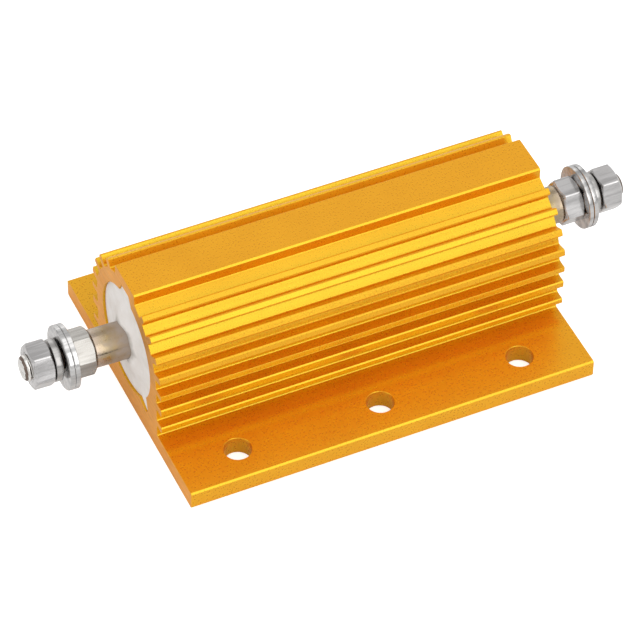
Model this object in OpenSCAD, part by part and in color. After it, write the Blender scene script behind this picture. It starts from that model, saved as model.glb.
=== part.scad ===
// Aluminium housed wirewound power resistor with a finned extrusion, a bolt-down base and a
// threaded stud terminal at each end. X runs along the body, Z is up, and the origin is the
// centre of the underside of the base.

/* [Housing] */
// Length of the extruded housing
housing_length = 65.2; // [64:0.2:90]
// Width of the base flange
base_width = 47.5; // [44:0.5:70]
// Thickness of the base flange
base_thickness = 3.1; // [2:0.1:3.6]
// Height of the housing from the underside to the marking flat
housing_height = 25.05; // [24.6:0.05:26]
// Width of the marking flat on top
flat_width = 7.15; // [5:0.05:8]
// Height of the bore axis above the underside
axis_height = 12.6; // [12.2:0.1:13]
// Radius of the round root that the radial fins stand on
root_radius = 11.2; // [10.9:0.05:11.3]
// Half width of the straight sides below the axis
side_half_width = 11.15; // [10.6:0.05:11.2]
// Radius of the fillets where fins and walls meet the body
root_fillet = 0.3; // [0.1:0.05:0.4]

/* [Fins] */
// Radius of the fin tips from the bore axis
fin_tip_radius = 13.1; // [12.5:0.05:13.3]
// Radius of the tips of the uppermost fins, which are shorter
top_fin_tip_radius = 12.65; // [12.2:0.05:13]
// Farthest reach of the fins to each side
fin_side_reach = 12.95; // [12.4:0.05:13]
// Angle of the uppermost fin above the horizontal
first_fin_angle = 58; // [56:0.5:59]
// Angle between neighbouring radial fins
fin_angle_step = 14.6; // [14.2:0.1:15]
// Widths of the radial fins, from the top down
radial_fin_widths = [1.05, 1.08, 1.15, 1.2, 0.95];
// Height of the upper level fin on each side
upper_level_fin_height = 9.38; // [9.3:0.01:9.6]
// Width of the upper level fin
upper_level_fin_width = 1.3; // [1:0.05:1.5]
// Height of the lower level fin on each side
lower_level_fin_height = 5.82; // [5.7:0.01:6.2]
// Width of the lower level fin
lower_level_fin_width = 1.05; // [0.8:0.05:1.3]
// Cut-back of the fin tip corners
fin_corner = 0.18; // [0.1:0.02:0.3]

/* [Mounting holes] */
// Diameter of the flange holes
hole_diameter = 4.6; // [4:0.1:5.5]
// Spacing of the three holes along each flange
hole_pitch = 22.9; // [18:0.1:27]
// Spacing between the two rows of holes
hole_row_spacing = 36.6; // [35.2:0.1:38]

/* [Bore and cement] */
// Radius of the bore
bore_radius = 8.9; // [8.6:0.05:9.1]
// Reach of the top key slot from the bore axis
top_key_reach = 10.3; // [9.6:0.05:10.5]
// Width of the top key slot where it opens into the bore
top_key_mouth = 4.3; // [3:0.1:4.6]
// Width of the top key slot at its outer end
top_key_end = 2.6; // [1.6:0.1:3]
// Reach of the two lower key slots from the bore axis
lower_key_reach = 10.95; // [9.6:0.05:11.2]
// Width of a lower key slot where it opens into the bore
lower_key_mouth = 3.3; // [2.6:0.1:4]
// Width of a lower key slot at its outer end
lower_key_end = 1.2; // [0.8:0.1:2]
// Depth of the cement below each end face
cement_recess = 0.35; // [0.1:0.05:1]
// Radius of the cement collar around each stud
collar_radius = 4.8; // [4:0.1:6]
// Rise of the cement collar along the stud
collar_rise = 1; // [0.4:0.1:1.6]

/* [Resistance element] */
// Radius of the ceramic core
core_radius = 4.5; // [3.5:0.1:4.6]
// Length of the ceramic core
core_length = 46; // [36:1:50]
// Radius of the resistance wire
wire_radius = 0.3; // [0.15:0.05:0.35]
// Turns of resistance wire
winding_turns = 14; // [8:1:16]
// Length of each end cap
cap_length = 6; // [4:0.5:8]
// Wall of the end caps
cap_wall = 0.6; // [0.4:0.05:0.65]

/* [Terminals] */
// Reach of the left stud beyond the housing
left_stud_reach = 16.35; // [15:0.05:20]
// Reach of the right stud beyond the housing
right_stud_reach = 15.8; // [15:0.1:20]
// Diameter of the stud shoulder
shoulder_diameter = 5.8; // [5.4:0.1:6.4]
// Tilt of the left stud, which is welded on and cast in a little askew
left_stud_tilt = 1.25; // [0:0.05:2]
// Nominal thread diameter of the stud
thread_diameter = 4; // [3.6:0.1:4]
// Length of the threaded end beyond the shoulder
thread_length = 10.7; // [10.6:0.1:14]
// Width across the flats of the nuts
nut_across_flats = 6.45; // [6:0.05:8]
// Thickness of the nuts
nut_thickness = 3.2; // [2.8:0.1:3.2]
// Outer diameter of the flat washers
flat_washer_diameter = 9.9; // [8.6:0.1:12]
// Thickness of a flat washer
flat_washer_thickness = 0.8; // [0.5:0.1:0.8]
// Outer diameter of the spring washers
spring_washer_diameter = 6.4; // [6.1:0.1:7.2]
// Thickness of the spring washer strip
spring_washer_thickness = 1.1; // [0.8:0.05:1.1]
// Axial set between the two ends of a spring washer
spring_washer_set = 0.5; // [0.1:0.05:0.6]

/* [Fits] */
// Gap around everything that is cast into the cement
cast_gap = 0.02; // [0.01:0.01:0.05]
// Radial clearance between thread and nut
thread_clearance = 0.02; // [0.01:0.01:0.1]
// Radial clearance between thread and washers
washer_clearance = 0.12; // [0.05:0.01:0.2]

/* [Hidden] */

$fn = 64;

// Extra length that makes a cutting tool pass clean through
through = 1;
// Corner cut along the top of the marking flat and the edges of the base
edge_cut = 0.25;
// Flat steps that make up the round root between two fins, and one fillet
root_steps = 3;
fillet_steps = 3;
// Angle of the lower key slots below the horizontal
lower_key_angle = 48;
// Chamfers of the stud tips and nuts
tip_chamfer = 0.6;
nut_chamfer_angle = 30;
// Turn of each nut about the stud: the nuts stop wherever they are tight
inner_nut_turns = [46, 32];
outer_nut_turns = [28, 35];
// Direction in which the left stud leans, above the horizontal towards the rear side
left_stud_lean = 42;
// Turn of the gap in each spring washer, and the width of the gap
spring_gap_turns = [160, 350];
spring_gap_angle = 10;
// Facets: steps around a spring washer, steps per turn of the winding, sides of the wire
spring_steps = 40;
winding_steps = 18;
wire_sides = 6;

// Derived places along the axis, measured from the middle of the body
housing_end = housing_length / 2;
cement_end = housing_end - cement_recess;
core_end = core_length / 2;
cap_end = core_end + cast_gap + cap_wall;
cap_radius = core_radius + cast_gap + cap_wall;
cap_mouth = cap_end - cap_length;
thread_radius = thread_diameter / 2;
shoulder_radius = shoulder_diameter / 2;
nut_corner_radius = nut_across_flats / 2 / cos(30);
winding_radius = (core_radius + cast_gap) / cos(180 / winding_steps) + wire_radius;
winding_length = 2 * (cap_mouth - wire_radius - cast_gap);
cavity_radius = max(cap_radius, winding_radius + wire_radius) + cast_gap;

// Tilt of a stud, and where it starts so that its edge just meets the cap
function stud_tilt(side) = side < 0 ? left_stud_tilt : 0;
function stud_start(side) = cap_end + shoulder_radius * tan(stud_tilt(side));

// ---- helpers ----

// A point of the housing section given by its distance and angle from the bore axis
function polar(r, a) = [r * cos(a), axis_height + r * sin(a)];

// The round root of the housing from one angle down to another, without its ends
function root_arc(from, to) =
    [for (i = [1 : root_steps - 1]) polar(root_radius, from + (to - from) * i / root_steps)];

// Points of a fillet about a centre, from one direction round to another
function fillet(centre, from, to) =
    [
        for (i = [0 : fillet_steps])
            let (a = from + (to - from) * i / fillet_steps)
            centre + root_fillet * [cos(a), sin(a)]
    ];

// Fillet centres lie on this radius where they touch the round root
fillet_ring = root_radius + root_fillet;

// Angles about the bore axis of radial fin k, and from its middle to the fillets at its foot
function fin_angle(k) = first_fin_angle - k * fin_angle_step;
function foot_lead(k) = asin((radial_fin_widths[k] / 2 + root_fillet) / fillet_ring);

// Angle about the bore axis of the fillet at the foot of the walls below the marking flat
flat_foot_angle = acos((flat_width / 2 + root_fillet) / fillet_ring);

// A point of radial fin k, r out along its middle and w above it, kept within the side reach
function fin_point(k, r, w) =
    let (
        a = fin_angle(k),
        p = polar(r, a) + w * [-sin(a), cos(a)]
    )
    [min(p[0], fin_side_reach), p[1]];

// Stands a section drawn in Y and Z along X, centred on the middle of the body
module along_x(length) {
    rotate([90, 0, 90])
        linear_extrude(length, center = true)
            children();
}

// Places what is drawn around Z from z = 0 up so that it points out of one end of the body,
// starting at distance from the middle
module out_of_end(side, distance) {
    translate([side * distance, 0, axis_height])
        rotate([0, side * 90, 0])
            children();
}

// Places what is drawn around Z on the axis of a stud, starting at distance from the middle. The
// left stud leans about the end of its cap.
module along_stud(side, distance) {
    lean = [0, sin(left_stud_lean), -cos(left_stud_lean)];
    translate([side * cap_end, 0, axis_height])
        rotate(stud_tilt(side), lean)
            rotate([0, side * 90, 0])
                translate([0, 0, distance - cap_end])
                    children();
}

// ---- housing ----

// A radial fin with cut corners at its tip and fillets at its foot, and the root above it
function radial_fin_outline(k) =
    let (
        tip = k == 0 ? top_fin_tip_radius : fin_tip_radius,
        half = radial_fin_widths[k] / 2,
        middle = fin_angle(k),
        upper_foot = middle + foot_lead(k),
        lower_foot = middle - foot_lead(k),
        root_start = k == 0 ? flat_foot_angle : fin_angle(k - 1) - foot_lead(k - 1)
    )
    [
        each root_arc(root_start, upper_foot),
        each fillet(polar(fillet_ring, upper_foot), upper_foot + 180, middle + 270),
        fin_point(k, tip - fin_corner, half),
        fin_point(k, tip, half - fin_corner),
        fin_point(k, tip, fin_corner - half),
        fin_point(k, tip - fin_corner, -half),
        each fillet(polar(fillet_ring, lower_foot), middle + 90, lower_foot + 180)
    ];

// The corner between the straight side and an upward face at a height
function side_foot(height) =
    fillet([side_half_width + root_fillet, height + root_fillet], 180, 270);

// A level fin on the straight side of the housing
function level_fin_outline(height, width) =
    let (
        top = height + width / 2,
        bottom = height - width / 2
    )
    [
        each side_foot(top),
        [fin_side_reach - fin_corner, top],
        [fin_side_reach, top - fin_corner],
        [fin_side_reach, bottom + fin_corner],
        [fin_side_reach - fin_corner, bottom],
        each fillet([side_half_width + root_fillet, bottom - root_fillet], 90, 180)
    ];

// One side of the housing, from the marking flat down to the underside
function side_outline() = [
    [flat_width / 2 - edge_cut, housing_height],
    [flat_width / 2, housing_height - edge_cut],
    each fillet(polar(fillet_ring, flat_foot_angle), 180, flat_foot_angle + 180),
    for (k = [0 : len(radial_fin_widths) - 1]) each radial_fin_outline(k),
    each level_fin_outline(upper_level_fin_height, upper_level_fin_width),
    each level_fin_outline(lower_level_fin_height, lower_level_fin_width),
    each side_foot(base_thickness),
    [base_width / 2 - edge_cut, base_thickness],
    [base_width / 2, base_thickness - edge_cut],
    [base_width / 2, edge_cut],
    [base_width / 2 - edge_cut, 0]
];

module housing_section() {
    right = side_outline();
    left = [for (i = [len(right) - 1 : -1 : 0]) [-right[i][0], right[i][1]]];
    polygon(concat(right, left));
}

// A key slot that opens off the bore and narrows outwards
module key_slot(angle, reach, mouth, end) {
    rotate(angle)
        polygon([[0, -mouth / 2], [bore_radius, -mouth / 2], [reach, -end / 2],
                 [reach, end / 2], [bore_radius, mouth / 2], [0, mouth / 2]]);
}

// The bore with its key slots, or what is cast in it with a gap all round
module bore_section(gap = 0) {
    translate([0, axis_height]) {
        circle(r = bore_radius - gap);
        key_slot(90, top_key_reach - gap, top_key_mouth - 2 * gap, top_key_end - 2 * gap);
        for (angle = [-lower_key_angle, lower_key_angle - 180])
            key_slot(angle, lower_key_reach - gap, lower_key_mouth - 2 * gap, lower_key_end - 2 * gap);
    }
}

module housing() {
    color("goldenrod")
        difference() {
            along_x(housing_length)
                housing_section();
            along_x(housing_length + 2 * through)
                bore_section();
            for (x = [-hole_pitch, 0, hole_pitch], side = [-1, 1])
                translate([x, side * hole_row_spacing / 2, -through])
                    cylinder(d = hole_diameter, h = base_thickness + 2 * through);
        }
}

// ---- what is cast into the bore ----

module cement_filling() {
    color("gainsboro")
        difference() {
            union() {
                along_x(2 * cement_end)
                    bore_section(cast_gap);
                for (side = [-1, 1])
                    along_stud(side, cement_end - through)
                        cylinder(
                            r1 = collar_radius + through,
                            r2 = shoulder_radius + cast_gap + fin_corner,
                            h = collar_rise + through
                        );
            }
            for (side = [-1, 1]) {
                out_of_end(side, 0)
                    cylinder(r = cavity_radius, h = cap_end + cast_gap);
                along_stud(side, cap_end)
                    cylinder(r = shoulder_radius + cast_gap, h = housing_end - cap_end + 2 * collar_rise);
            }
        }
}

module ceramic_core() {
    color("white")
        translate([0, 0, axis_height])
            rotate([0, 90, 0])
                cylinder(r = core_radius, h = core_length, center = true);
}

// Resistance wire wound round the core from one end cap to the other
module resistance_winding() {
    steps = winding_turns * winding_steps;
    points = [
        for (i = [0 : steps], j = [0 : wire_sides - 1])
            let (
                turn = 360 * i / winding_steps,
                r = winding_radius + wire_radius * cos(360 * j / wire_sides),
                x = winding_length * (i / steps - 0.5) + wire_radius * sin(360 * j / wire_sides)
            )
            [x, r * cos(turn), axis_height + r * sin(turn)]
    ];
    sides = [
        for (i = [0 : steps - 1], j = [0 : wire_sides - 1])
            let (
                a = i * wire_sides + j,
                b = i * wire_sides + (j + 1) % wire_sides
            )
            [a, a + wire_sides, b + wire_sides, b]
    ];
    first = [for (j = [0 : wire_sides - 1]) j];
    last = [for (j = [0 : wire_sides - 1]) steps * wire_sides + wire_sides - 1 - j];
    color("peru")
        polyhedron(points, concat(sides, [first], [last]));
}

module end_cap(side) {
    color("silver")
        out_of_end(side, cap_mouth)
            difference() {
                cylinder(r = cap_radius, h = cap_length);
                translate([0, 0, -through])
                    cylinder(r = core_radius + cast_gap, h = cap_length - cap_wall + through);
            }
}

// ---- terminals ----

// Reach of a stud from the middle of the body, and the place of its shoulder
function stud_end(side) = housing_end + (side < 0 ? left_stud_reach : right_stud_reach);
function shoulder_end(side) = stud_end(side) - thread_length;
function side_index(side) = side < 0 ? 0 : 1;

// A turned stud: shoulder in the cement, thread blank outside, chamfered tip
module terminal_stud(side) {
    from = stud_start(side);
    shoulder = shoulder_end(side) - from;
    total = stud_end(side) - from;
    color("silver")
        along_stud(side, from)
            rotate_extrude()
                polygon([
                    [0, 0],
                    [shoulder_radius, 0],
                    [shoulder_radius, shoulder],
                    [thread_radius, shoulder],
                    [thread_radius, total - tip_chamfer],
                    [thread_radius - tip_chamfer, total],
                    [0, total]
                ]);
}

// A hexagon nut with both faces chamfered, standing on z = 0
module hex_nut() {
    flats = nut_across_flats / 2;
    drop = (nut_corner_radius - flats) * tan(nut_chamfer_angle);
    difference() {
        intersection() {
            cylinder(r = nut_corner_radius, h = nut_thickness, $fn = 6);
            rotate_extrude()
                polygon([
                    [0, 0],
                    [flats, 0],
                    [nut_corner_radius, drop],
                    [nut_corner_radius, nut_thickness - drop],
                    [flats, nut_thickness],
                    [0, nut_thickness]
                ]);
        }
        translate([0, 0, -through])
            cylinder(r = thread_radius + thread_clearance, h = nut_thickness + 2 * through);
    }
}

module flat_washer() {
    difference() {
        cylinder(d = flat_washer_diameter, h = flat_washer_thickness);
        translate([0, 0, -through])
            cylinder(r = thread_radius + washer_clearance, h = flat_washer_thickness + 2 * through);
    }
}

// A split washer: one left-hand turn of square strip with its ends set apart along the stud
module spring_washer_ring() {
    inner = thread_radius + washer_clearance;
    outer = spring_washer_diameter / 2;
    swept = 360 - spring_gap_angle;
    points = [
        for (i = [0 : spring_steps])
            let (
                a = -swept * i / spring_steps,
                base = spring_washer_set * i / spring_steps,
                top = base + spring_washer_thickness
            )
            each [
                [inner * cos(a), inner * sin(a), base],
                [outer * cos(a), outer * sin(a), base],
                [outer * cos(a), outer * sin(a), top],
                [inner * cos(a), inner * sin(a), top]
            ]
    ];
    sides = [
        for (i = [0 : spring_steps - 1], j = [0 : 3])
            let (
                a = i * 4 + j,
                b = i * 4 + (j + 1) % 4
            )
            [b, b + 4, a + 4, a]
    ];
    last = spring_steps * 4;
    polyhedron(points, concat(sides, [[3, 2, 1, 0]], [[last, last + 1, last + 2, last + 3]]));
}

// Places along the stud of the pieces clamped on it, from the shoulder out
function inner_nut_place(side) = shoulder_end(side);
function inner_washer_place(side) = inner_nut_place(side) + nut_thickness;
function outer_washer_place(side) = inner_washer_place(side) + flat_washer_thickness;
function spring_washer_place(side) = outer_washer_place(side) + flat_washer_thickness;
function outer_nut_place(side) =
    spring_washer_place(side) + spring_washer_thickness + spring_washer_set;

module inner_nut(side) {
    color("lightgray")
        along_stud(side, inner_nut_place(side))
            rotate(inner_nut_turns[side_index(side)])
                hex_nut();
}

module inner_flat_washer(side) {
    color("lightgray")
        along_stud(side, inner_washer_place(side))
            flat_washer();
}

module outer_flat_washer(side) {
    color("lightgray")
        along_stud(side, outer_washer_place(side))
            flat_washer();
}

module spring_washer(side) {
    color("gray")
        along_stud(side, spring_washer_place(side))
            rotate(spring_gap_turns[side_index(side)])
                spring_washer_ring();
}

module outer_nut(side) {
    color("lightgray")
        along_stud(side, outer_nut_place(side))
            rotate(outer_nut_turns[side_index(side)])
                hex_nut();
}

housing();
cement_filling();
ceramic_core();
resistance_winding();
end_cap(-1);  // end_cap_left
end_cap(1);  // end_cap_right
terminal_stud(-1);  // terminal_stud_left
terminal_stud(1);  // terminal_stud_right
inner_nut(-1);  // inner_nut_left
inner_nut(1);  // inner_nut_right
inner_flat_washer(-1);  // inner_flat_washer_left
inner_flat_washer(1);  // inner_flat_washer_right
outer_flat_washer(-1);  // outer_flat_washer_left
outer_flat_washer(1);  // outer_flat_washer_right
spring_washer(-1);  // spring_washer_left
spring_washer(1);  // spring_washer_right
outer_nut(-1);  // outer_nut_left
outer_nut(1);  // outer_nut_right
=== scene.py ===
import math

import bmesh
import bpy
from mathutils import Matrix, Vector, geometry


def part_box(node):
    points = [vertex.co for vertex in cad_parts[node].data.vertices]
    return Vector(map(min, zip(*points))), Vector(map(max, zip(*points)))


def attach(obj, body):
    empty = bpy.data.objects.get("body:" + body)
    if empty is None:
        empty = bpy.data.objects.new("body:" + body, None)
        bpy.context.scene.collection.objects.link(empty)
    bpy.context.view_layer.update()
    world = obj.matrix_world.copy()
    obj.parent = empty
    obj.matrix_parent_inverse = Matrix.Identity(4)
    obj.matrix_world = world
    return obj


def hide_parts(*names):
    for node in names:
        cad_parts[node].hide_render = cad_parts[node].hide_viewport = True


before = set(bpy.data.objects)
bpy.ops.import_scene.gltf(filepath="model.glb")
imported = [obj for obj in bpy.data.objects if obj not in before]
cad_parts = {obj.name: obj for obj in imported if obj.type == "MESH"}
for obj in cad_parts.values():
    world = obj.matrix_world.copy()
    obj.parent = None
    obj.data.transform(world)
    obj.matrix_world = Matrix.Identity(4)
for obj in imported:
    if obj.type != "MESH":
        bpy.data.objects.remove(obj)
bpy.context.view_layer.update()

# ---------------------------------------------------------------------------------------------
# The housing. One aluminium extrusion with a finned round body on a flat base, sawn to length.
# It is blasted and gold anodised, and the screw holes in the base are drilled. Everything else
# is fixed to it through the cement cast in its bore.

MM = 0.001
HOUSING_CORNER = 0.07 * MM       # rounding of the extruded corners
SAWN_CORNER = 0.05 * MM          # broken edge around the sawn ends
BASE_THICKNESS = 3.1 * MM
HOLE_LIP = 0.07 * MM             # broken edge of the drilled holes
HOLE_RADIUS = 2.1 * MM
HOLE_PITCH = 22.9 * MM
HOLE_ROW = 18.3 * MM             # from the middle of the base to each row of holes
DRILL_PAST = 1.0 * MM            # how far the drill reaches past both faces of the base
FLAT_WITHIN = 1e-6               # metres that the vertices of a flat end may differ by
SAME_PLACE = 1e-7                # metres within which two vertices are one
SHARP_TURN = math.radians(14)    # an outline that turns less than this is a curve, not a corner
ROOM_SHARE = 0.42                # share of a side that the rounding of one of its ends may take
ROUND_STEPS = 3                  # segments in a rounded corner
TURNED_STEPS = 96                # segments around turned pieces
SMOOTH_BELOW = 35                # degrees between faces that are shaded as one surface


def end_outlines(node):
    """The closed outlines (y, z) of a CAD node's flat end at its largest x, the longest first."""
    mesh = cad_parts[node].data
    end_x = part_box(node)[1].x
    places, uses = {}, {}

    def place(index):
        co = mesh.vertices[index].co
        key = (round(co.y * 1e6), round(co.z * 1e6))
        places[key] = Vector((co.y, co.z))
        return key

    for polygon in mesh.polygons:
        if all(abs(mesh.vertices[i].co.x - end_x) < FLAT_WITHIN for i in polygon.vertices):
            keys = [place(i) for i in polygon.vertices]
            for a, b in zip(keys, keys[1:] + keys[:1]):
                uses[(a, b)] = uses.get((a, b), 0) + 1
    following = {a: b for (a, b) in uses if (b, a) not in uses}
    outlines = []
    while following:
        start = next(iter(following))
        loop, at = [], start
        while at in following:
            loop.append(places[at])
            at = following.pop(at)
        outlines.append(loop)
    return sorted(outlines, key=lambda loop: -sum((a - b).length for a, b in zip(loop, loop[1:])))


def corner_turn(before, at, after):
    """How far an outline turns at a point, in radians, positive to the left."""
    a, b = at - before, after - at
    return math.atan2(a.x * b.y - a.y * b.x, a.dot(b))


def rounded(outline, radius, steps=ROUND_STEPS):
    """An outline with its sharp corners rounded and its curves kept."""
    points = []
    count = len(outline)
    for i, at in enumerate(outline):
        before, after = outline[i - 1], outline[(i + 1) % count]
        turn = abs(corner_turn(before, at, after))
        if turn < SHARP_TURN:
            points.append(at.copy())
            continue
        room = ROOM_SHARE * min((at - before).length, (after - at).length)
        reach = min(radius * math.tan(turn / 2), room)
        start = at + (before - at).normalized() * reach
        end = at + (after - at).normalized() * reach
        for k in range(steps + 1):
            t = k / steps
            points.append(start * (1 - t) ** 2 + at * 2 * t * (1 - t) + end * t ** 2)
    return points


def moved_in(outline, distance):
    """An outline moved to its left by a small distance."""
    points = []
    count = len(outline)
    for i, at in enumerate(outline):
        a = (at - outline[i - 1]).normalized()
        b = (outline[(i + 1) % count] - at).normalized()
        side = Vector((-a.y - b.y, a.x + b.x)).normalized()
        points.append(at + side * distance / max(0.5, side.dot(Vector((-a.y, a.x)))))
    return points


def new_object(name, mesh_data):
    thing = bpy.data.objects.new(name, mesh_data)
    bpy.context.scene.collection.objects.link(thing)
    return thing


def mesh_object(name, vertices, faces, smooth_below=SMOOTH_BELOW):
    """A mesh object with outward normals, smooth where its faces meet at a small angle."""
    mesh = bpy.data.meshes.new(name)
    mesh.from_pydata([tuple(v) for v in vertices], [], faces)
    cleaned = bmesh.new()
    cleaned.from_mesh(mesh)
    bmesh.ops.remove_doubles(cleaned, verts=cleaned.verts, dist=SAME_PLACE)
    bmesh.ops.dissolve_degenerate(cleaned, dist=SAME_PLACE, edges=cleaned.edges)
    bmesh.ops.recalc_face_normals(cleaned, faces=cleaned.faces)
    cleaned.to_mesh(mesh)
    cleaned.free()
    thing = new_object(name, mesh)
    soften(thing, smooth_below)
    return thing


def soften(thing, smooth_below):
    """Smooth shading that keeps flat faces flat and breaks at sharp edges."""
    mesh = thing.data
    mesh.polygons.foreach_set("use_smooth", [True] * len(mesh.polygons))
    mesh.set_sharp_from_angle(angle=math.radians(smooth_below))
    weighted = thing.modifiers.new("weighted normals", "WEIGHTED_NORMAL")
    weighted.keep_sharp = True


def apply_modifiers(thing):
    evaluated = thing.evaluated_get(bpy.context.evaluated_depsgraph_get())
    mesh = bpy.data.meshes.new_from_object(evaluated)
    thing.modifiers.clear()
    thing.data = mesh


def rings_to_faces(ring_count, size):
    """Quads between closed rings of vertices that follow one another in one list."""
    faces = []
    for r in range(ring_count - 1):
        for i in range(size):
            j = (i + 1) % size
            faces.append((r * size + i, r * size + j, (r + 1) * size + j, (r + 1) * size + i))
    return faces


def lathe(profile):
    """Vertices and faces of a closed profile of (radius, x) points turned around the X axis."""
    vertices, faces = [], []
    count = len(profile)
    for s in range(TURNED_STEPS):
        a = 2 * math.pi * s / TURNED_STEPS
        vertices += [Vector((x, r * math.cos(a), r * math.sin(a))) for r, x in profile]
    for s in range(TURNED_STEPS):
        t = (s + 1) % TURNED_STEPS
        for i in range(count):
            j = (i + 1) % count
            faces.append((s * count + i, s * count + j, t * count + j, t * count + i))
    return vertices, faces


body_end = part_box("housing")[1].x
outline, bore = (rounded(loop, HOUSING_CORNER) for loop in end_outlines("housing")[:2])

stations = [
    (-body_end, SAWN_CORNER),
    (-body_end + SAWN_CORNER, 0),
    (body_end - SAWN_CORNER, 0),
    (body_end, SAWN_CORNER),
]
housing_vertices, housing_faces = [], []
for loop in (outline, bore):
    first = len(housing_vertices)
    for x, inset in stations:
        housing_vertices += [Vector((x, p.x, p.y)) for p in moved_in(loop, inset)]
    walls = rings_to_faces(len(stations), len(loop))
    housing_faces += [tuple(first + i for i in f) for f in walls]
for x in (-body_end, body_end):
    rims = [[Vector((x, p.x, p.y)) for p in moved_in(loop, SAWN_CORNER)]
            for loop in (outline, bore)]
    first = len(housing_vertices)
    housing_vertices += rims[0] + rims[1]
    housing_faces += [tuple(first + i for i in f) for f in geometry.tessellate_polygon(rims)]
housing = mesh_object("housing_extrusion", housing_vertices, housing_faces)

lip = [(HOLE_RADIUS + HOLE_LIP, 0), (HOLE_RADIUS, HOLE_LIP)]
flare = HOLE_RADIUS + HOLE_LIP + DRILL_PAST
drill_profile = [(0, -DRILL_PAST), (flare, -DRILL_PAST), *lip]
drill_profile += [(r, BASE_THICKNESS - x) for r, x in reversed(lip)]
drill_profile += [(flare, BASE_THICKNESS + DRILL_PAST), (0, BASE_THICKNESS + DRILL_PAST)]
drill_vertices, drill_faces = [], []
for x in (-HOLE_PITCH, 0, HOLE_PITCH):
    for y in (-HOLE_ROW, HOLE_ROW):
        turned, quads = lathe(drill_profile)
        first = len(drill_vertices)
        drill_vertices += [Vector((x + v.z, y + v.y, v.x)) for v in turned]
        drill_faces += [tuple(first + i for i in q) for q in quads]
drill = mesh_object("drill", drill_vertices, drill_faces)
housing.modifiers.clear()
cut = housing.modifiers.new("holes", "BOOLEAN")
cut.operation = "DIFFERENCE"
cut.solver = "EXACT"
cut.object = drill
apply_modifiers(housing)
bpy.data.objects.remove(drill)
soften(housing, SMOOTH_BELOW)


def named_group(name, inputs, outputs):
    """An empty node group with named inputs and outputs, and its two end nodes' sockets."""
    group = bpy.data.node_groups.new(name, "ShaderNodeTree")
    for key in inputs:
        group.interface.new_socket(key, in_out="INPUT", socket_type="NodeSocketFloat")
    for key in outputs:
        kind = "NodeSocketVector" if key == "Normal" else "NodeSocketFloat"
        group.interface.new_socket(key, in_out="OUTPUT", socket_type=kind)
    given = group.nodes.new("NodeGroupInput").outputs
    result = group.nodes.new("NodeGroupOutput").inputs
    return group, given, result


def node(tree, kind, inputs=None, **settings):
    """A shader node with its settings, and inputs given as values or as output sockets."""
    made = tree.nodes.new(kind)
    for key, value in settings.items():
        setattr(made, key, value)
    for key, value in (inputs or {}).items():
        if isinstance(value, bpy.types.NodeSocket):
            tree.links.new(value, made.inputs[key])
        else:
            made.inputs[key].default_value = value
    return made


def ramp(tree, factor, stops):
    """A colour ramp output with stops given as (place, colour) or (place, grey)."""
    made = node(tree, "ShaderNodeValToRGB", {"Fac": factor})
    elements = made.color_ramp.elements
    while len(elements) > 1:
        elements.remove(elements[-1])
    for i, (at, colour) in enumerate(stops):
        element = elements[0] if i == 0 else elements.new(at)
        element.position = at
        colour = (colour,) * 3 if isinstance(colour, (int, float)) else colour
        element.color = (*colour, 1)
    return made.outputs["Color"]


def maths(tree, operation, *values, clamp=False):
    made = node(tree, "ShaderNodeMath", dict(enumerate(values)), operation=operation)
    made.use_clamp = clamp
    return made.outputs[0]


def mixed(tree, factor, a, b, blend="MIX"):
    """A colour mix of two colours or sockets."""
    made = node(tree, "ShaderNodeMix", data_type="RGBA", blend_type=blend)
    for key, value in ((0, factor), (6, a), (7, b)):
        if isinstance(value, bpy.types.NodeSocket):
            tree.links.new(value, made.inputs[key])
        else:
            made.inputs[key].default_value = value if key == 0 else (*value, 1)
    return made.outputs[2]


def new_material(name):
    """An empty node material with its tree and its Principled shader."""
    made = bpy.data.materials.new(name)
    made.use_nodes = True
    tree = made.node_tree
    return made, tree, tree.nodes["Principled BSDF"]


def surface_group():
    """Blasted or drawn metal: fine grains, longer streaks along X, and slow cloudy variation."""
    group, given, result = named_group("metal_surface", ("Grain scale", "Streak", "Bump"),
                                       ("Grain", "Cloud", "Normal"))
    place = node(group, "ShaderNodeTexCoord").outputs["Object"]
    grain = node(group, "ShaderNodeTexNoise",
                 {"Vector": place, "Scale": given["Grain scale"], "Detail": 2.0})
    along = node(group, "ShaderNodeMapping", {"Vector": place, "Scale": (60, 4200, 4200)})
    streak = node(group, "ShaderNodeTexNoise",
                  {"Vector": along.outputs[0], "Scale": 1.0, "Detail": 1.0})
    cloud = node(group, "ShaderNodeTexNoise", {"Vector": place, "Scale": 160.0, "Detail": 3.0})
    drawn = maths(group, "MULTIPLY", streak.outputs["Fac"], given["Streak"])
    height = maths(group, "ADD", grain.outputs["Fac"], drawn)
    bump = node(group, "ShaderNodeBump",
                {"Strength": given["Bump"], "Distance": 0.00005, "Height": height})
    group.links.new(height, result["Grain"])
    group.links.new(cloud.outputs["Fac"], result["Cloud"])
    group.links.new(bump.outputs["Normal"], result["Normal"])
    return group


metal_surface = surface_group()


def metal_surface_node(tree, grain_scale, streak, bump):
    """The metal surface group in a material, with its three settings."""
    return node(tree, "ShaderNodeGroup", {"Grain scale": grain_scale, "Streak": streak, "Bump": bump},
                node_tree=metal_surface)


SCATTER_SHARE = 0.52             # share of the light that is scattered in the dyed oxide


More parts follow.
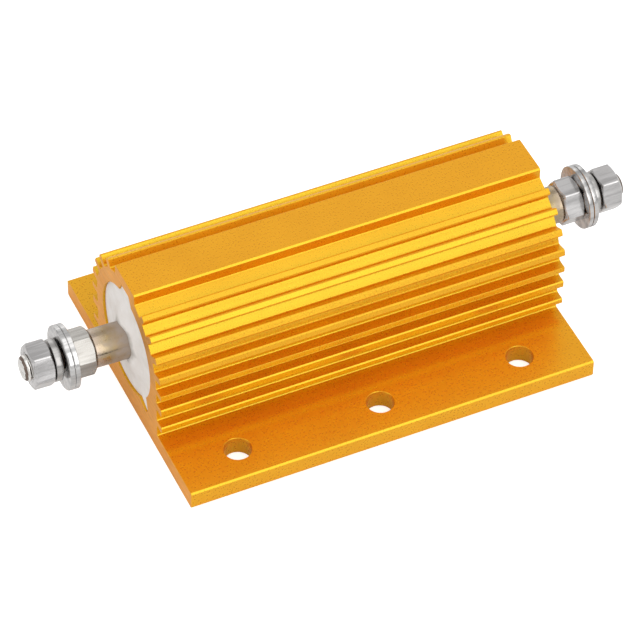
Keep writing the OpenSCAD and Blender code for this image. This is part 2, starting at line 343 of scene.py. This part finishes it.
def anodised_material():
    """Blasted metal under a dyed oxide: partly a metal mirror, partly light scattered in the dye."""
    made, tree, shader = new_material("gold_anodised")
    surface = metal_surface_node(tree, 3000, 0.15, 0.22)
    dye = ramp(tree, surface.outputs["Cloud"],
               [(0.3, (0.51, 0.57, 0.040)), (0.7, (0.55, 0.61, 0.044))])
    pits = ramp(tree, surface.outputs["Grain"], [(0.36, 0.95), (0.55, 1.0), (0.8, 1.03)])
    colour = mixed(tree, 1.0, dye, pits, "MULTIPLY")
    tree.links.new(colour, shader.inputs["Base Color"])
    rough = node(tree, "ShaderNodeMapRange",
                 {"Value": surface.outputs["Grain"], "From Min": 0.3, "From Max": 0.9,
                  "To Min": 0.25, "To Max": 0.34})
    tree.links.new(rough.outputs[0], shader.inputs["Roughness"])
    tree.links.new(surface.outputs["Normal"], shader.inputs["Normal"])
    shader.inputs["Metallic"].default_value = 1.0
    scatter = tree.nodes.new("ShaderNodeBsdfPrincipled")
    deep = ramp(tree, surface.outputs["Cloud"],
                [(0.3, (0.95, 0.20, 0.0)), (0.7, (0.99, 0.22, 0.0))])
    tree.links.new(mixed(tree, 1.0, deep, pits, "MULTIPLY"), scatter.inputs["Base Color"])
    tree.links.new(surface.outputs["Normal"], scatter.inputs["Normal"])
    scatter.inputs["Roughness"].default_value = 0.6
    scatter.inputs["Specular IOR Level"].default_value = 0.2
    blend = node(tree, "ShaderNodeMixShader",
                 {0: SCATTER_SHARE, 1: shader.outputs[0], 2: scatter.outputs[0]})
    tree.links.new(blend.outputs[0], tree.nodes["Material Output"].inputs["Surface"])
    return made


def sawn_material():
    """Sawn and anodised end faces: duller, with saw marks and a darker brown patch on the front,
    above the middle of the bore.
    """
    made, tree, shader = new_material("gold_sawn_end")
    surface = metal_surface_node(tree, 5200, 0.0, 0.25)
    place = node(tree, "ShaderNodeTexCoord").outputs["Object"]
    across = node(tree, "ShaderNodeMapping", {"Vector": place, "Scale": (1, 300, 3000)})
    marks = node(tree, "ShaderNodeTexNoise",
                 {"Vector": across.outputs[0], "Scale": 1.0, "Detail": 1.0})
    metal = ramp(tree, surface.outputs["Cloud"],
                 [(0.3, (0.80, 0.36, 0.06)), (0.7, (0.88, 0.42, 0.08))])
    lines = ramp(tree, marks.outputs["Fac"], [(0.3, 0.9), (0.7, 1.06)])
    sawn = mixed(tree, 1.0, metal, lines, "MULTIPLY")
    split = node(tree, "ShaderNodeSeparateXYZ", {"Vector": place})
    # A darker brown patch over the front upper part of each end face, with a ragged edge.
    uneven = node(tree, "ShaderNodeTexNoise", {"Vector": place, "Scale": 260.0, "Detail": 3.0})
    ahead_of_bore = maths(tree, "MULTIPLY_ADD", uneven.outputs["Fac"], -0.004, split.outputs["Y"])
    front_half = node(tree, "ShaderNodeMapRange",
                      {"Value": ahead_of_bore, "From Min": -0.0075, "From Max": -0.0035,
                       "To Min": 1.0, "To Max": 0.0})
    above_base = node(tree, "ShaderNodeMapRange",
                      {"Value": split.outputs["Z"], "From Min": 0.012, "From Max": 0.016})
    darker_patch = maths(tree, "MULTIPLY", front_half.outputs[0], above_base.outputs[0])
    colour = mixed(tree, maths(tree, "MULTIPLY", darker_patch, 0.28), sawn, (0.46, 0.25, 0.10))
    tree.links.new(colour, shader.inputs["Base Color"])
    shader.inputs["Metallic"].default_value = 0.75
    shader.inputs["Roughness"].default_value = 0.55
    tree.links.new(surface.outputs["Normal"], shader.inputs["Normal"])
    return made


housing.data.materials.append(anodised_material())
housing.data.materials.append(sawn_material())
for polygon in housing.data.polygons:
    if abs(polygon.normal.x) > 0.9 and abs(polygon.center.x) > body_end - SAWN_CORNER:
        polygon.material_index = 1
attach(housing, "root")
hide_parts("housing")

# ---------------------------------------------------------------------------------------------
# The cement. A silicone-bound mineral cement, cast into the bore around the element and baked.
# It shrinks a little below the sawn ends and creeps up the stud shoulders in a low collar.

SIDES = (("left", -1), ("right", 1))
CEMENT_RECESS = 0.35 * MM        # below the sawn ends
CEMENT_GAP = 0.03 * MM           # to the bore and the stud
CEMENT_RINGS = 22                # rings of vertices across each face
RING_SPACING = 0.8               # below 1 puts the rings closer together towards the stud
POUR_WAVE = 0.05 * MM            # unevenness of the pour
SHOULDER_RADIUS = 2.9 * MM
COLLAR_RISE = 0.95 * MM
COLLAR_SPREAD = 1.9 * MM


def box_centre(name):
    low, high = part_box(name)
    return (Vector(low) + Vector(high)) / 2


def stud_axis(side_name):
    """A point on the axis of a stud, in the middle of its inner nut, and the outward direction."""
    inner, outer = (box_centre(f"{place}_nut_{side_name}") for place in ("inner", "outer"))
    return inner, (outer - inner).normalized()


def axis_at(side_name, x):
    """The point where the axis of a stud passes a given x."""
    start, along = stud_axis(side_name)
    return start + along * (x - start.x) / along.x


cement_outline = moved_in(bore, -CEMENT_GAP)


def cement_height(r, angle, side):
    """How far the cement stands above its flat level, from the collar and the uneven pour."""
    collar = COLLAR_RISE * math.exp(-(max(0.0, r - SHOULDER_RADIUS) / COLLAR_SPREAD) ** 1.5)
    lump = 0.92 + 0.12 * math.sin(2 * angle + side) + 0.08 * math.sin(5 * angle - side)
    wave = POUR_WAVE * math.sin(3 * angle + 900 * r * side)
    return collar * lump + wave


def cement_face(side_name, side):
    """Rings from the edge of the bore in to the stud shoulder."""
    centre = Vector(axis_at(side_name, side * body_end).yz)
    rings = []
    for k in range(CEMENT_RINGS + 1):
        t = (k / CEMENT_RINGS) ** RING_SPACING
        for p in cement_outline:
            out = p - centre
            r = out.length + (SHOULDER_RADIUS + CEMENT_GAP - out.length) * t
            angle = math.atan2(out.y, out.x)
            x = body_end - CEMENT_RECESS + cement_height(r, angle, side)
            spot = centre + out.normalized() * r
            rings.append(Vector((side * x, spot.x, spot.y)))
    return rings


left_face, right_face = (cement_face(side_name, side) for side_name, side in SIDES)
size = len(cement_outline)
cement_rings = [left_face[k * size:(k + 1) * size] for k in range(CEMENT_RINGS, -1, -1)]
cement_rings += [right_face[k * size:(k + 1) * size] for k in range(CEMENT_RINGS + 1)]
cement_vertices = [v for ring in cement_rings for v in ring]
cement_faces = rings_to_faces(len(cement_rings), size)
last = (len(cement_rings) - 1) * size
cement_faces += [(last + i, last + (i + 1) % size, (i + 1) % size, i) for i in range(size)]
cement = mesh_object("cement_cast", cement_vertices, cement_faces, 60)


def grainy_group():
    """Chalky or crystalline grain: its uneven value, and the bump that it makes."""
    group, given, result = named_group("grainy", ("Scale", "Detail", "Bump"), ("Value", "Normal"))
    place = node(group, "ShaderNodeTexCoord").outputs["Object"]
    grain = node(group, "ShaderNodeTexNoise",
                 {"Vector": place, "Scale": given["Scale"], "Detail": given["Detail"]})
    bump = node(group, "ShaderNodeBump",
                {"Strength": given["Bump"], "Distance": 0.00005, "Height": grain.outputs["Fac"]})
    group.links.new(grain.outputs["Fac"], result["Value"])
    group.links.new(bump.outputs["Normal"], result["Normal"])
    return group


grainy = grainy_group()


def cement_material():
    """Chalky off-white cement, with grey painted shade in a ragged ring round the stud's root."""
    made, tree, shader = new_material("cast_cement")
    place = node(tree, "ShaderNodeTexCoord").outputs["Object"]
    split = node(tree, "ShaderNodeSeparateXYZ", {"Vector": place})
    lift = maths(tree, "SUBTRACT", split.outputs["Z"], box_centre("terminal_stud_right").z)
    squares = maths(tree, "ADD", maths(tree, "MULTIPLY", split.outputs["Y"], split.outputs["Y"]),
                    maths(tree, "MULTIPLY", lift, lift))
    reach = maths(tree, "SQRT", squares)
    cloud = node(tree, "ShaderNodeTexNoise", {"Vector": place, "Scale": 420.0, "Detail": 4.0})
    ragged = maths(tree, "MULTIPLY_ADD", cloud.outputs["Fac"], 0.0024, reach)
    # Painted shade: grey mixed into the cement round the stud's root, fading out between 4 and 5 mm
    # from the stud's axis.
    painted_stud_shade = node(tree, "ShaderNodeMapRange",
                {"Value": ragged, "From Min": 0.0040, "From Max": 0.0050,
                 "To Min": 0.8, "To Max": 0.0})
    tint = ramp(tree, cloud.outputs["Fac"],
                [(0.35, (0.80, 0.755, 0.71)), (0.65, (0.88, 0.845, 0.815))])
    colour = mixed(tree, painted_stud_shade.outputs[0], tint, (0.42, 0.39, 0.35))
    tree.links.new(colour, shader.inputs["Base Color"])
    chalk = node(tree, "ShaderNodeGroup", {"Scale": 6000.0, "Detail": 3.0, "Bump": 0.35},
                 node_tree=grainy)
    tree.links.new(chalk.outputs["Normal"], shader.inputs["Normal"])
    shader.inputs["Roughness"].default_value = 0.8
    return made


cement.data.materials.append(cement_material())
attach(cement, "root")
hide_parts("cement_filling")

# ---------------------------------------------------------------------------------------------
# The element inside the cement: a ceramic rod with resistance wire wound round it, spot welded
# at both ends to pressed steel caps. None of it shows once the cement is cast.


def plain_material(name, dark, light, metallic, roughness, scale):
    """A material with cloudy colour, uneven roughness and a fine bump."""
    made, tree, shader = new_material(name)
    cloud = node(tree, "ShaderNodeGroup", {"Scale": scale, "Detail": 4.0, "Bump": 0.15},
                 node_tree=grainy)
    colour = ramp(tree, cloud.outputs["Value"], [(0.35, dark), (0.65, light)])
    tree.links.new(colour, shader.inputs["Base Color"])
    rough = node(tree, "ShaderNodeMapRange",
                 {"Value": cloud.outputs["Value"],
                  "To Min": roughness - 0.08, "To Max": roughness + 0.08})
    tree.links.new(rough.outputs[0], shader.inputs["Roughness"])
    tree.links.new(cloud.outputs["Normal"], shader.inputs["Normal"])
    shader.inputs["Metallic"].default_value = metallic
    return made


def finish_node(name, material):
    """Gives a CAD node its material."""
    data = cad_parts[name].data
    data.materials.clear()
    data.materials.append(material)


ceramic = plain_material("core_ceramic", (0.78, 0.76, 0.72), (0.86, 0.85, 0.82), 0.0, 0.6, 900)
alloy = plain_material("resistance_alloy", (0.28, 0.25, 0.22), (0.40, 0.36, 0.32), 1.0, 0.4, 2500)
cap_steel = plain_material("cap_steel", (0.45, 0.45, 0.44), (0.56, 0.56, 0.55), 1.0, 0.35, 1200)
finish_node("ceramic_core", ceramic)
finish_node("resistance_winding", alloy)
finish_node("end_cap_left", cap_steel)
finish_node("end_cap_right", cap_steel)

# ---------------------------------------------------------------------------------------------
# The two terminal studs. Turned steel, plain at the shoulder that the cement holds and with a
# rolled thread outside. Welding and baking have left the shoulder heat tinted and smeared.

THREAD_PITCH = 0.7 * MM
THREAD_CREST = 2.0 * MM          # radius
THREAD_ROOT = 1.62 * MM          # radius
THREAD_LENGTH = 10.7 * MM
STUD_TIP = 0.9 * MM              # depth of the domed end
SHOULDER_CORNER = 0.2 * MM
FOOT_CLEARANCE = 0.15 * MM       # to the end cap that it is welded to
GROOVE_DEPTH = 0.1 * MM          # below the crests, where the painted groove shade begins
GROOVE_FACING = 0.85             # faces turned more than this along the stud stay bare
PITCH_POINTS = 10                # rings of vertices in one pitch
STUD_STEPS = 64


def on_stud(thing, side_name):
    """Moves a piece made along +X onto a stud, with its origin in the middle of the inner nut."""
    start, along = stud_axis(side_name)
    outward = Vector((1 if side_name == "right" else -1, 0, 0))
    turn = Matrix.Identity(3) if side_name == "right" else Matrix.Rotation(math.pi, 3, "Z")
    lean = outward.rotation_difference(along).to_matrix()
    thing.data.transform(Matrix.Translation(start) @ (lean @ turn).to_4x4())
    thing.data.update()


def reach(name, side_name):
    """Where a CAD piece starts and ends along its stud, from the middle of the inner nut."""
    start, along = stud_axis(side_name)
    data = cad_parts[name].data
    along_stud = [(vertex.co - start).dot(along) for vertex in data.vertices]
    return min(along_stud), max(along_stud)


def thread_radius(phase):
    """Radius of a rolled thread over one pitch, with rounded crest and root."""
    wave = 0.5 - 0.5 * math.cos(2 * math.pi * phase)
    return THREAD_ROOT + (THREAD_CREST - THREAD_ROOT) * wave ** 0.8


def stud_mesh(name, side_name):
    """The plain shoulder, then the thread as one spiral of rings, closed by a domed end."""
    foot, tip = reach(f"terminal_stud_{side_name}", side_name)
    foot += FOOT_CLEARANCE
    shoulder = tip - THREAD_LENGTH
    vertices = []
    rows = [
        (foot, 0),
        (foot, SHOULDER_RADIUS - SHOULDER_CORNER),
        (foot + SHOULDER_CORNER, SHOULDER_RADIUS),
        (shoulder - SHOULDER_CORNER, SHOULDER_RADIUS),
        (shoulder, SHOULDER_RADIUS - SHOULDER_CORNER),
        (shoulder, THREAD_ROOT),
    ]
    for x, r in rows:
        for j in range(STUD_STEPS):
            a = 2 * math.pi * j / STUD_STEPS
            vertices.append(Vector((x, r * math.cos(a), r * math.sin(a))))
    turns = int(THREAD_LENGTH / THREAD_PITCH) + 2
    for i in range(turns * PITCH_POINTS):
        phase = i / PITCH_POINTS
        for j in range(STUD_STEPS):
            a = 2 * math.pi * j / STUD_STEPS
            x = shoulder + THREAD_PITCH * (phase + j / STUD_STEPS - 1)
            x = min(max(x, shoulder), tip)
            left = tip - x
            into_dome = max(0.0, 1 - left / STUD_TIP)
            dome = THREAD_CREST - STUD_TIP * (1 - math.sqrt(1 - into_dome ** 2))
            r = dome if left < STUD_TIP else thread_radius(phase)
            vertices.append(Vector((x, r * math.cos(a), r * math.sin(a))))
    row_count = len(rows) + turns * PITCH_POINTS
    faces = []
    for r in range(row_count - 1):
        for j in range(STUD_STEPS):
            k = (j + 1) % STUD_STEPS
            drop = PITCH_POINTS if k == 0 and r >= len(rows) else 0
            upper, lower = r + 1 + drop, r + drop
            if upper < row_count:
                faces.append((r * STUD_STEPS + j, lower * STUD_STEPS + k,
                              upper * STUD_STEPS + k, (r + 1) * STUD_STEPS + j))
    hub = len(vertices)
    vertices.append(Vector((tip, 0, 0)))
    last_row = (row_count - 1) * STUD_STEPS
    for j in range(STUD_STEPS - 1):
        faces.append((last_row + j, last_row + j + 1, hub))
    made = mesh_object(name, vertices, faces, 40)
    on_stud(made, side_name)
    return made


def stud_material():
    """Steel browned by heat near the body, scratched lengthwise, with grey smears of cement."""
    made, tree, shader = new_material("stud_steel")
    surface = metal_surface_node(tree, 3000, 1.6, 0.2)
    place = node(tree, "ShaderNodeTexCoord").outputs["Object"]
    split = node(tree, "ShaderNodeSeparateXYZ", {"Vector": place})
    from_body = maths(tree, "SUBTRACT", maths(tree, "ABSOLUTE", split.outputs["X"]), body_end)
    ragged = maths(tree, "MULTIPLY_ADD", surface.outputs["Cloud"], 0.004, from_body)
    heat = ramp(tree, maths(tree, "DIVIDE", ragged, 0.012),
                [(0.0, (0.27, 0.215, 0.15)), (0.25, (0.25, 0.17, 0.085)),
                 (0.42, (0.21, 0.165, 0.085)), (0.6, (0.29, 0.235, 0.185)),
                 (0.9, (0.50, 0.49, 0.47))])
    scratch = ramp(tree, surface.outputs["Grain"], [(0.7, 0.6), (0.95, 1.0), (1.25, 1.5)])
    tinted = mixed(tree, 1.0, heat, scratch, "MULTIPLY")
    smear = node(tree, "ShaderNodeTexNoise", {"Vector": place, "Scale": 700.0, "Detail": 4.0})
    near = node(tree, "ShaderNodeMapRange",
                {"Value": from_body, "From Min": 0.0005, "From Max": 0.0045,
                 "To Min": 0.75, "To Max": 0.25})
    smeared = maths(tree, "ADD", smear.outputs["Fac"], near.outputs[0])
    patches = maths(tree, "SUBTRACT", smeared, 0.75, clamp=True)
    cover = maths(tree, "MULTIPLY", patches, 2.2, clamp=True)
    colour = mixed(tree, cover, tinted, (0.34, 0.28, 0.23))
    tree.links.new(colour, shader.inputs["Base Color"])
    metal = maths(tree, "SUBTRACT", 1.0, maths(tree, "MULTIPLY", cover, 0.8))
    tree.links.new(metal, shader.inputs["Metallic"])
    rough = maths(tree, "MULTIPLY_ADD", cover, 0.3, 0.26)
    tree.links.new(rough, shader.inputs["Roughness"])
    tree.links.new(surface.outputs["Normal"], shader.inputs["Normal"])
    return made


def groove_shade_material():
    """Thread flanks and roots, painted dark brown as painted shade in the grooves."""
    made, tree, shader = new_material("painted_groove_shade")
    surface = metal_surface_node(tree, 3000, 0.2, 0.15)
    groove_shade_colour = ramp(tree, surface.outputs["Cloud"],
               [(0.3, (0.15, 0.11, 0.09)), (0.7, (0.26, 0.205, 0.17))])
    tree.links.new(groove_shade_colour, shader.inputs["Base Color"])
    tree.links.new(surface.outputs["Normal"], shader.inputs["Normal"])
    shader.inputs["Metallic"].default_value = 1.0
    shader.inputs["Roughness"].default_value = 0.38
    return made


stud_steel, painted_groove_shade = stud_material(), groove_shade_material()
for side_name, _ in SIDES:
    stud = stud_mesh(f"stud_{side_name}", side_name)
    stud.data.materials.append(stud_steel)
    stud.data.materials.append(painted_groove_shade)
    start, along = stud_axis(side_name)
    for polygon in stud.data.polygons:
        out = (polygon.center - start).cross(along).length
        # Faces down in the thread's grooves get the dark brown painted shade.
        if out < THREAD_CREST - GROOVE_DEPTH and abs(polygon.normal.dot(along)) < GROOVE_FACING:
            polygon.material_index = 1
    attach(stud, "root")
    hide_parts(f"terminal_stud_{side_name}")

# ---------------------------------------------------------------------------------------------
# The hex nuts, an inner and an outer one on each stud. Cold formed and plated, chamfered on both
# faces so that each flat ends in a shallow arc. The inner one is tightened against the shoulder.

NUT_ACROSS_FLATS = 6.45 * MM
NUT_CORNER = 0.28 * MM           # rounding of the six corners
NUT_CORNER_STEPS = 4
NUT_CHAMFER = math.radians(30)
NUT_FACE_INSET = 0.1 * MM        # of the flat face inside the flats
NUT_EDGE = 0.07 * MM             # rounding where the chamfer meets the flats
COUNTERSINK = 0.3 * MM           # width, at both ends of the nut's bore
COUNTERSINK_DEPTH = 0.35 * MM
NUT_CLEARANCE = 0.02 * MM        # between the bore and the crests of the thread
NUT_TURNS = {"inner_nut_left": 46, "inner_nut_right": 32,      # degrees
             "outer_nut_left": 28, "outer_nut_right": 35}
FLAT_POINTS = 8                  # segments along each flat


def hexagon(turn):
    """A hexagon with rounded corners and extra points along its flats, turned by an angle."""
    corner = NUT_ACROSS_FLATS / 2 / math.cos(math.pi / 6)
    angles = [turn + k * math.pi / 3 for k in range(6)]
    corners = [Vector((math.cos(a), math.sin(a))) * corner for a in angles]
    points = []
    soft = rounded(corners, NUT_CORNER, NUT_CORNER_STEPS)
    for i, at in enumerate(soft):
        after = soft[(i + 1) % len(soft)]
        points.append(at)
        if (after - at).length > 2 * NUT_CORNER:
            points += [at.lerp(after, k / FLAT_POINTS) for k in range(1, FLAT_POINTS)]
    return points


def nut_mesh(name, side_name, side):
    """Rings from the bore out over one chamfered face, along the flats and back to the bore."""
    near, far = reach(name, side_name)
    outline = hexagon(math.radians(NUT_TURNS[name]) - side * math.pi / 2)
    flat = NUT_ACROSS_FLATS / 2 - NUT_FACE_INSET
    hole = THREAD_CREST + NUT_CLEARANCE

    def ring(radius_of, x_of):
        return [Vector((x_of(p), *(p.normalized() * radius_of(p)))) for p in outline]

    def drop(p):
        return max(0.0, p.length - flat) * math.tan(NUT_CHAMFER)

    half = [
        (lambda p: hole, lambda p: COUNTERSINK_DEPTH),
        (lambda p: hole + COUNTERSINK, lambda p: 0.0),
        (lambda p: flat, lambda p: 0.0),
        (lambda p: max(flat, p.length - NUT_EDGE), lambda p: max(0.0, drop(p) - NUT_EDGE * 0.6)),
        (lambda p: p.length, lambda p: drop(p) + NUT_EDGE),
    ]
    rings = [ring(r, lambda p, x=x: near + x(p)) for r, x in half]
    rings += [ring(r, lambda p, x=x: far - x(p)) for r, x in reversed(half)]
    vertices = [v for one in rings for v in one]
    count = len(outline)
    faces = rings_to_faces(len(rings), count)
    last = (len(rings) - 1) * count
    faces += [(last + i, last + (i + 1) % count, (i + 1) % count, i) for i in range(count)]
    made = mesh_object(f"{name}_formed", vertices, faces, 30)
    on_stud(made, side_name)
    return made


def plated_material(name, dark, light, roughness):
    """Nickel plate over steel: bright, slightly uneven, with rub marks and wavy flats."""
    made, tree, shader = new_material(name)
    surface = metal_surface_node(tree, 1500, 0.5, 0.16)
    place = node(tree, "ShaderNodeTexCoord").outputs["Object"]
    along = node(tree, "ShaderNodeMapping", {"Vector": place, "Scale": (130, 1100, 1100)})
    rubbed = node(tree, "ShaderNodeTexNoise",
                  {"Vector": along.outputs[0], "Scale": 1.0, "Detail": 3.0})
    plate = ramp(tree, rubbed.outputs["Fac"], [(0.38, dark), (0.62, light)])
    tree.links.new(plate, shader.inputs["Base Color"])
    rough = node(tree, "ShaderNodeMapRange",
                 {"Value": surface.outputs["Cloud"], "From Min": 0.3, "From Max": 0.7,
                  "To Min": roughness - 0.05, "To Max": roughness + 0.06})
    tree.links.new(rough.outputs[0], shader.inputs["Roughness"])
    tree.links.new(surface.outputs["Normal"], shader.inputs["Normal"])
    shader.inputs["Metallic"].default_value = 1.0
    return made


plated_steel = plated_material("plated_steel", (0.46, 0.45, 0.445), (0.64, 0.625, 0.62), 0.2)
warm_steel = plated_material("plated_steel_warm", (0.29, 0.275, 0.255), (0.39, 0.375, 0.35), 0.24)
for side_name, side in SIDES:
    for name in (f"inner_nut_{side_name}", f"outer_nut_{side_name}"):
        nut = nut_mesh(name, side_name, side)
        nut.data.materials.append(warm_steel if name == "inner_nut_left" else plated_steel)
        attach(nut, "root")
        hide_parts(name)

# ---------------------------------------------------------------------------------------------
# The flat washers, two on each stud, that clamp the lug between them. Punched from plated strip,
# so one edge is rolled over and the other is crisp.

WASHER_RADIUS = 4.95 * MM
WASHER_ROLL = 0.22 * MM          # radius of the rolled edge
WASHER_ROLL_STEPS = 4
WASHER_BURR = 0.06 * MM          # broken crisp edge
WASHER_CLEARANCE = 0.14 * MM     # between the bore and the thread


def washer_mesh(name, side_name):
    near, far = reach(name, side_name)
    outer = WASHER_RADIUS
    inner = THREAD_CREST + WASHER_CLEARANCE
    profile = [(inner, near + WASHER_BURR), (inner + WASHER_BURR, near),
               (outer - WASHER_BURR, near), (outer, near + WASHER_BURR)]
    for k in range(WASHER_ROLL_STEPS + 1):
        a = k / WASHER_ROLL_STEPS * math.pi / 2
        profile.append((outer - WASHER_ROLL * (1 - math.cos(a)),
                        far - WASHER_ROLL * (1 - math.sin(a))))
    profile += [(inner + WASHER_ROLL, far), (inner, far - WASHER_ROLL)]
    vertices, faces = lathe(profile)
    made = mesh_object(f"{name}_punched", vertices, faces, 40)
    on_stud(made, side_name)
    return made


washer_steel = plated_material("washer_steel", (0.40, 0.395, 0.39), (0.62, 0.61, 0.60), 0.17)
for side_name, _ in SIDES:
    for name in (f"inner_flat_washer_{side_name}", f"outer_flat_washer_{side_name}"):
        washer = washer_mesh(name, side_name)
        washer.data.materials.append(washer_steel)
        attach(washer, "root")
        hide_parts(name)

# ---------------------------------------------------------------------------------------------
# The spring washers under the outer nuts: one turn of square spring steel wire, cut through and
# set sideways so that its two ends bite when the nut is tightened.

SPRING_THICKNESS = 1.1 * MM
SPRING_RADIUS = 3.2 * MM
SPRING_TURNS = {"left": 160, "right": 350}       # degrees
SPRING_GAP = math.radians(10)
SPRING_ROUND = 0.16 * MM         # rounding of the wire's corners
SPRING_CLEARANCE = 0.12 * MM     # between the bore and the thread
SPRING_SLANT = 0.12              # radians that the cut leans by, from face to face
SPRING_STEPS = 90


def spring_washer_mesh(side_name, side):
    near, far = reach(f"spring_washer_{side_name}", side_name)
    lift = far - near - SPRING_THICKNESS
    inner, outer = THREAD_CREST + SPRING_CLEARANCE, SPRING_RADIUS
    section = rounded([Vector((inner, 0)), Vector((outer, 0)), Vector((outer, SPRING_THICKNESS)),
                       Vector((inner, SPRING_THICKNESS))], SPRING_ROUND)
    start = math.radians(SPRING_TURNS[side_name])
    vertices = []
    for i in range(SPRING_STEPS + 1):
        t = i / SPRING_STEPS
        for p in section:
            slant = (p.y / SPRING_THICKNESS - 0.5) * SPRING_SLANT
            a = start - (2 * math.pi - SPRING_GAP) * t + slant
            x = near + lift * t + p.y
            vertices.append(Vector((x, side * p.x * math.sin(a), -side * p.x * math.cos(a))))
    count = len(section)
    faces = rings_to_faces(SPRING_STEPS + 1, count)
    faces += [tuple(range(count)), tuple(SPRING_STEPS * count + i for i in reversed(range(count)))]
    made = mesh_object(f"spring_washer_{side_name}_coil", vertices, faces, 40)
    on_stud(made, side_name)
    return made


spring_steel = plated_material("spring_steel", (0.34, 0.33, 0.32), (0.48, 0.47, 0.455), 0.24)
for side_name, side in SIDES:
    spring = spring_washer_mesh(side_name, side)
    spring.data.materials.append(spring_steel)
    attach(spring, "root")
    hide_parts(f"spring_washer_{side_name}")

# ---------------------------------------------------------------------------------------------
# The studio: a white table, which shows as plain white, four square soft lights and an even white
# surround. The camera stands in front of the left end, well above the object, with a long lens.

FLOOR_HALF = 4.0
FLOOR_DROP = 0.02 * MM           # keeps the table clear of the underside
LIGHT_AIM = Vector((0, 0, 0.01))
CAMERA_PLACE = Vector((-0.1825, -0.3859, 0.4453))
CAMERA_AZIMUTH = math.radians(25.14)
CAMERA_ELEVATION = math.radians(46.01)
CAMERA_ROLL = math.radians(0.89)
SENSOR_WIDTH = 36                # millimetres
LENS_PER_SENSOR = 6.402          # focal length as a multiple of the sensor's width

floor_mesh = bpy.data.meshes.new("table")
floor_corners = [(x * FLOOR_HALF, y * FLOOR_HALF, 0) for x, y in ((-1, -1), (1, -1), (1, 1), (-1, 1))]
floor_mesh.from_pydata(floor_corners, [], [(0, 1, 2, 3)])
floor = new_object("table", floor_mesh)
floor.location.z = -FLOOR_DROP
floor_material, floor_tree, floor_shader = new_material("white_table")
floor_shader.inputs["Base Color"].default_value = (0.8, 0.8, 0.8, 1)
floor_shader.inputs["Roughness"].default_value = 0.7
floor_shader.inputs["Emission Color"].default_value = (1, 1, 1, 1)
seen = node(floor_tree, "ShaderNodeLightPath").outputs["Is Camera Ray"]
glow = maths(floor_tree, "MULTIPLY", seen, 0.6)
floor_tree.links.new(glow, floor_shader.inputs["Emission Strength"])
floor.data.materials.append(floor_material)


def soft_light(name, place, size, radiance):
    """A square light of even brightness, aimed at the object."""
    data = bpy.data.lights.new(name, "AREA")
    data.shape = "SQUARE"
    data.size = size
    data.energy = radiance * math.pi * size ** 2
    made = new_object(name, data)
    made.location = place
    made.rotation_euler = (LIGHT_AIM - Vector(place)).to_track_quat("-Z", "Y").to_euler()


soft_light("overhead", (0.0, -0.25, 1.3), 1.5, 0.8)
soft_light("front", (0.25, -1.5, 0.95), 1.3, 1.75)
soft_light("left", (-1.5, -0.2, 0.7), 1.0, 0.8)
soft_light("back", (0.2, 1.6, 0.45), 1.2, 0.6)

world = bpy.data.worlds.new("surround")
world.use_nodes = True
bpy.context.scene.world = world
background = world.node_tree.nodes["Background"]
background.inputs["Color"].default_value = (1.0, 1.0, 1.0, 1)
background.inputs["Strength"].default_value = 0.77
bpy.context.scene.view_settings.view_transform = "Standard"

ahead = Vector((math.sin(CAMERA_AZIMUTH) * math.cos(CAMERA_ELEVATION),
                math.cos(CAMERA_AZIMUTH) * math.cos(CAMERA_ELEVATION),
                -math.sin(CAMERA_ELEVATION)))
camera_data = bpy.data.cameras.new("camera")
camera_data.sensor_width = SENSOR_WIDTH
camera_data.lens = SENSOR_WIDTH * LENS_PER_SENSOR
camera_data.clip_end = 20
camera = new_object("camera", camera_data)
camera.location = CAMERA_PLACE
camera.rotation_mode = "QUATERNION"
roll = Matrix.Rotation(CAMERA_ROLL, 3, "Z").to_quaternion()
camera.rotation_quaternion = ahead.to_track_quat("-Z", "Y") @ roll
bpy.context.scene.camera = camera
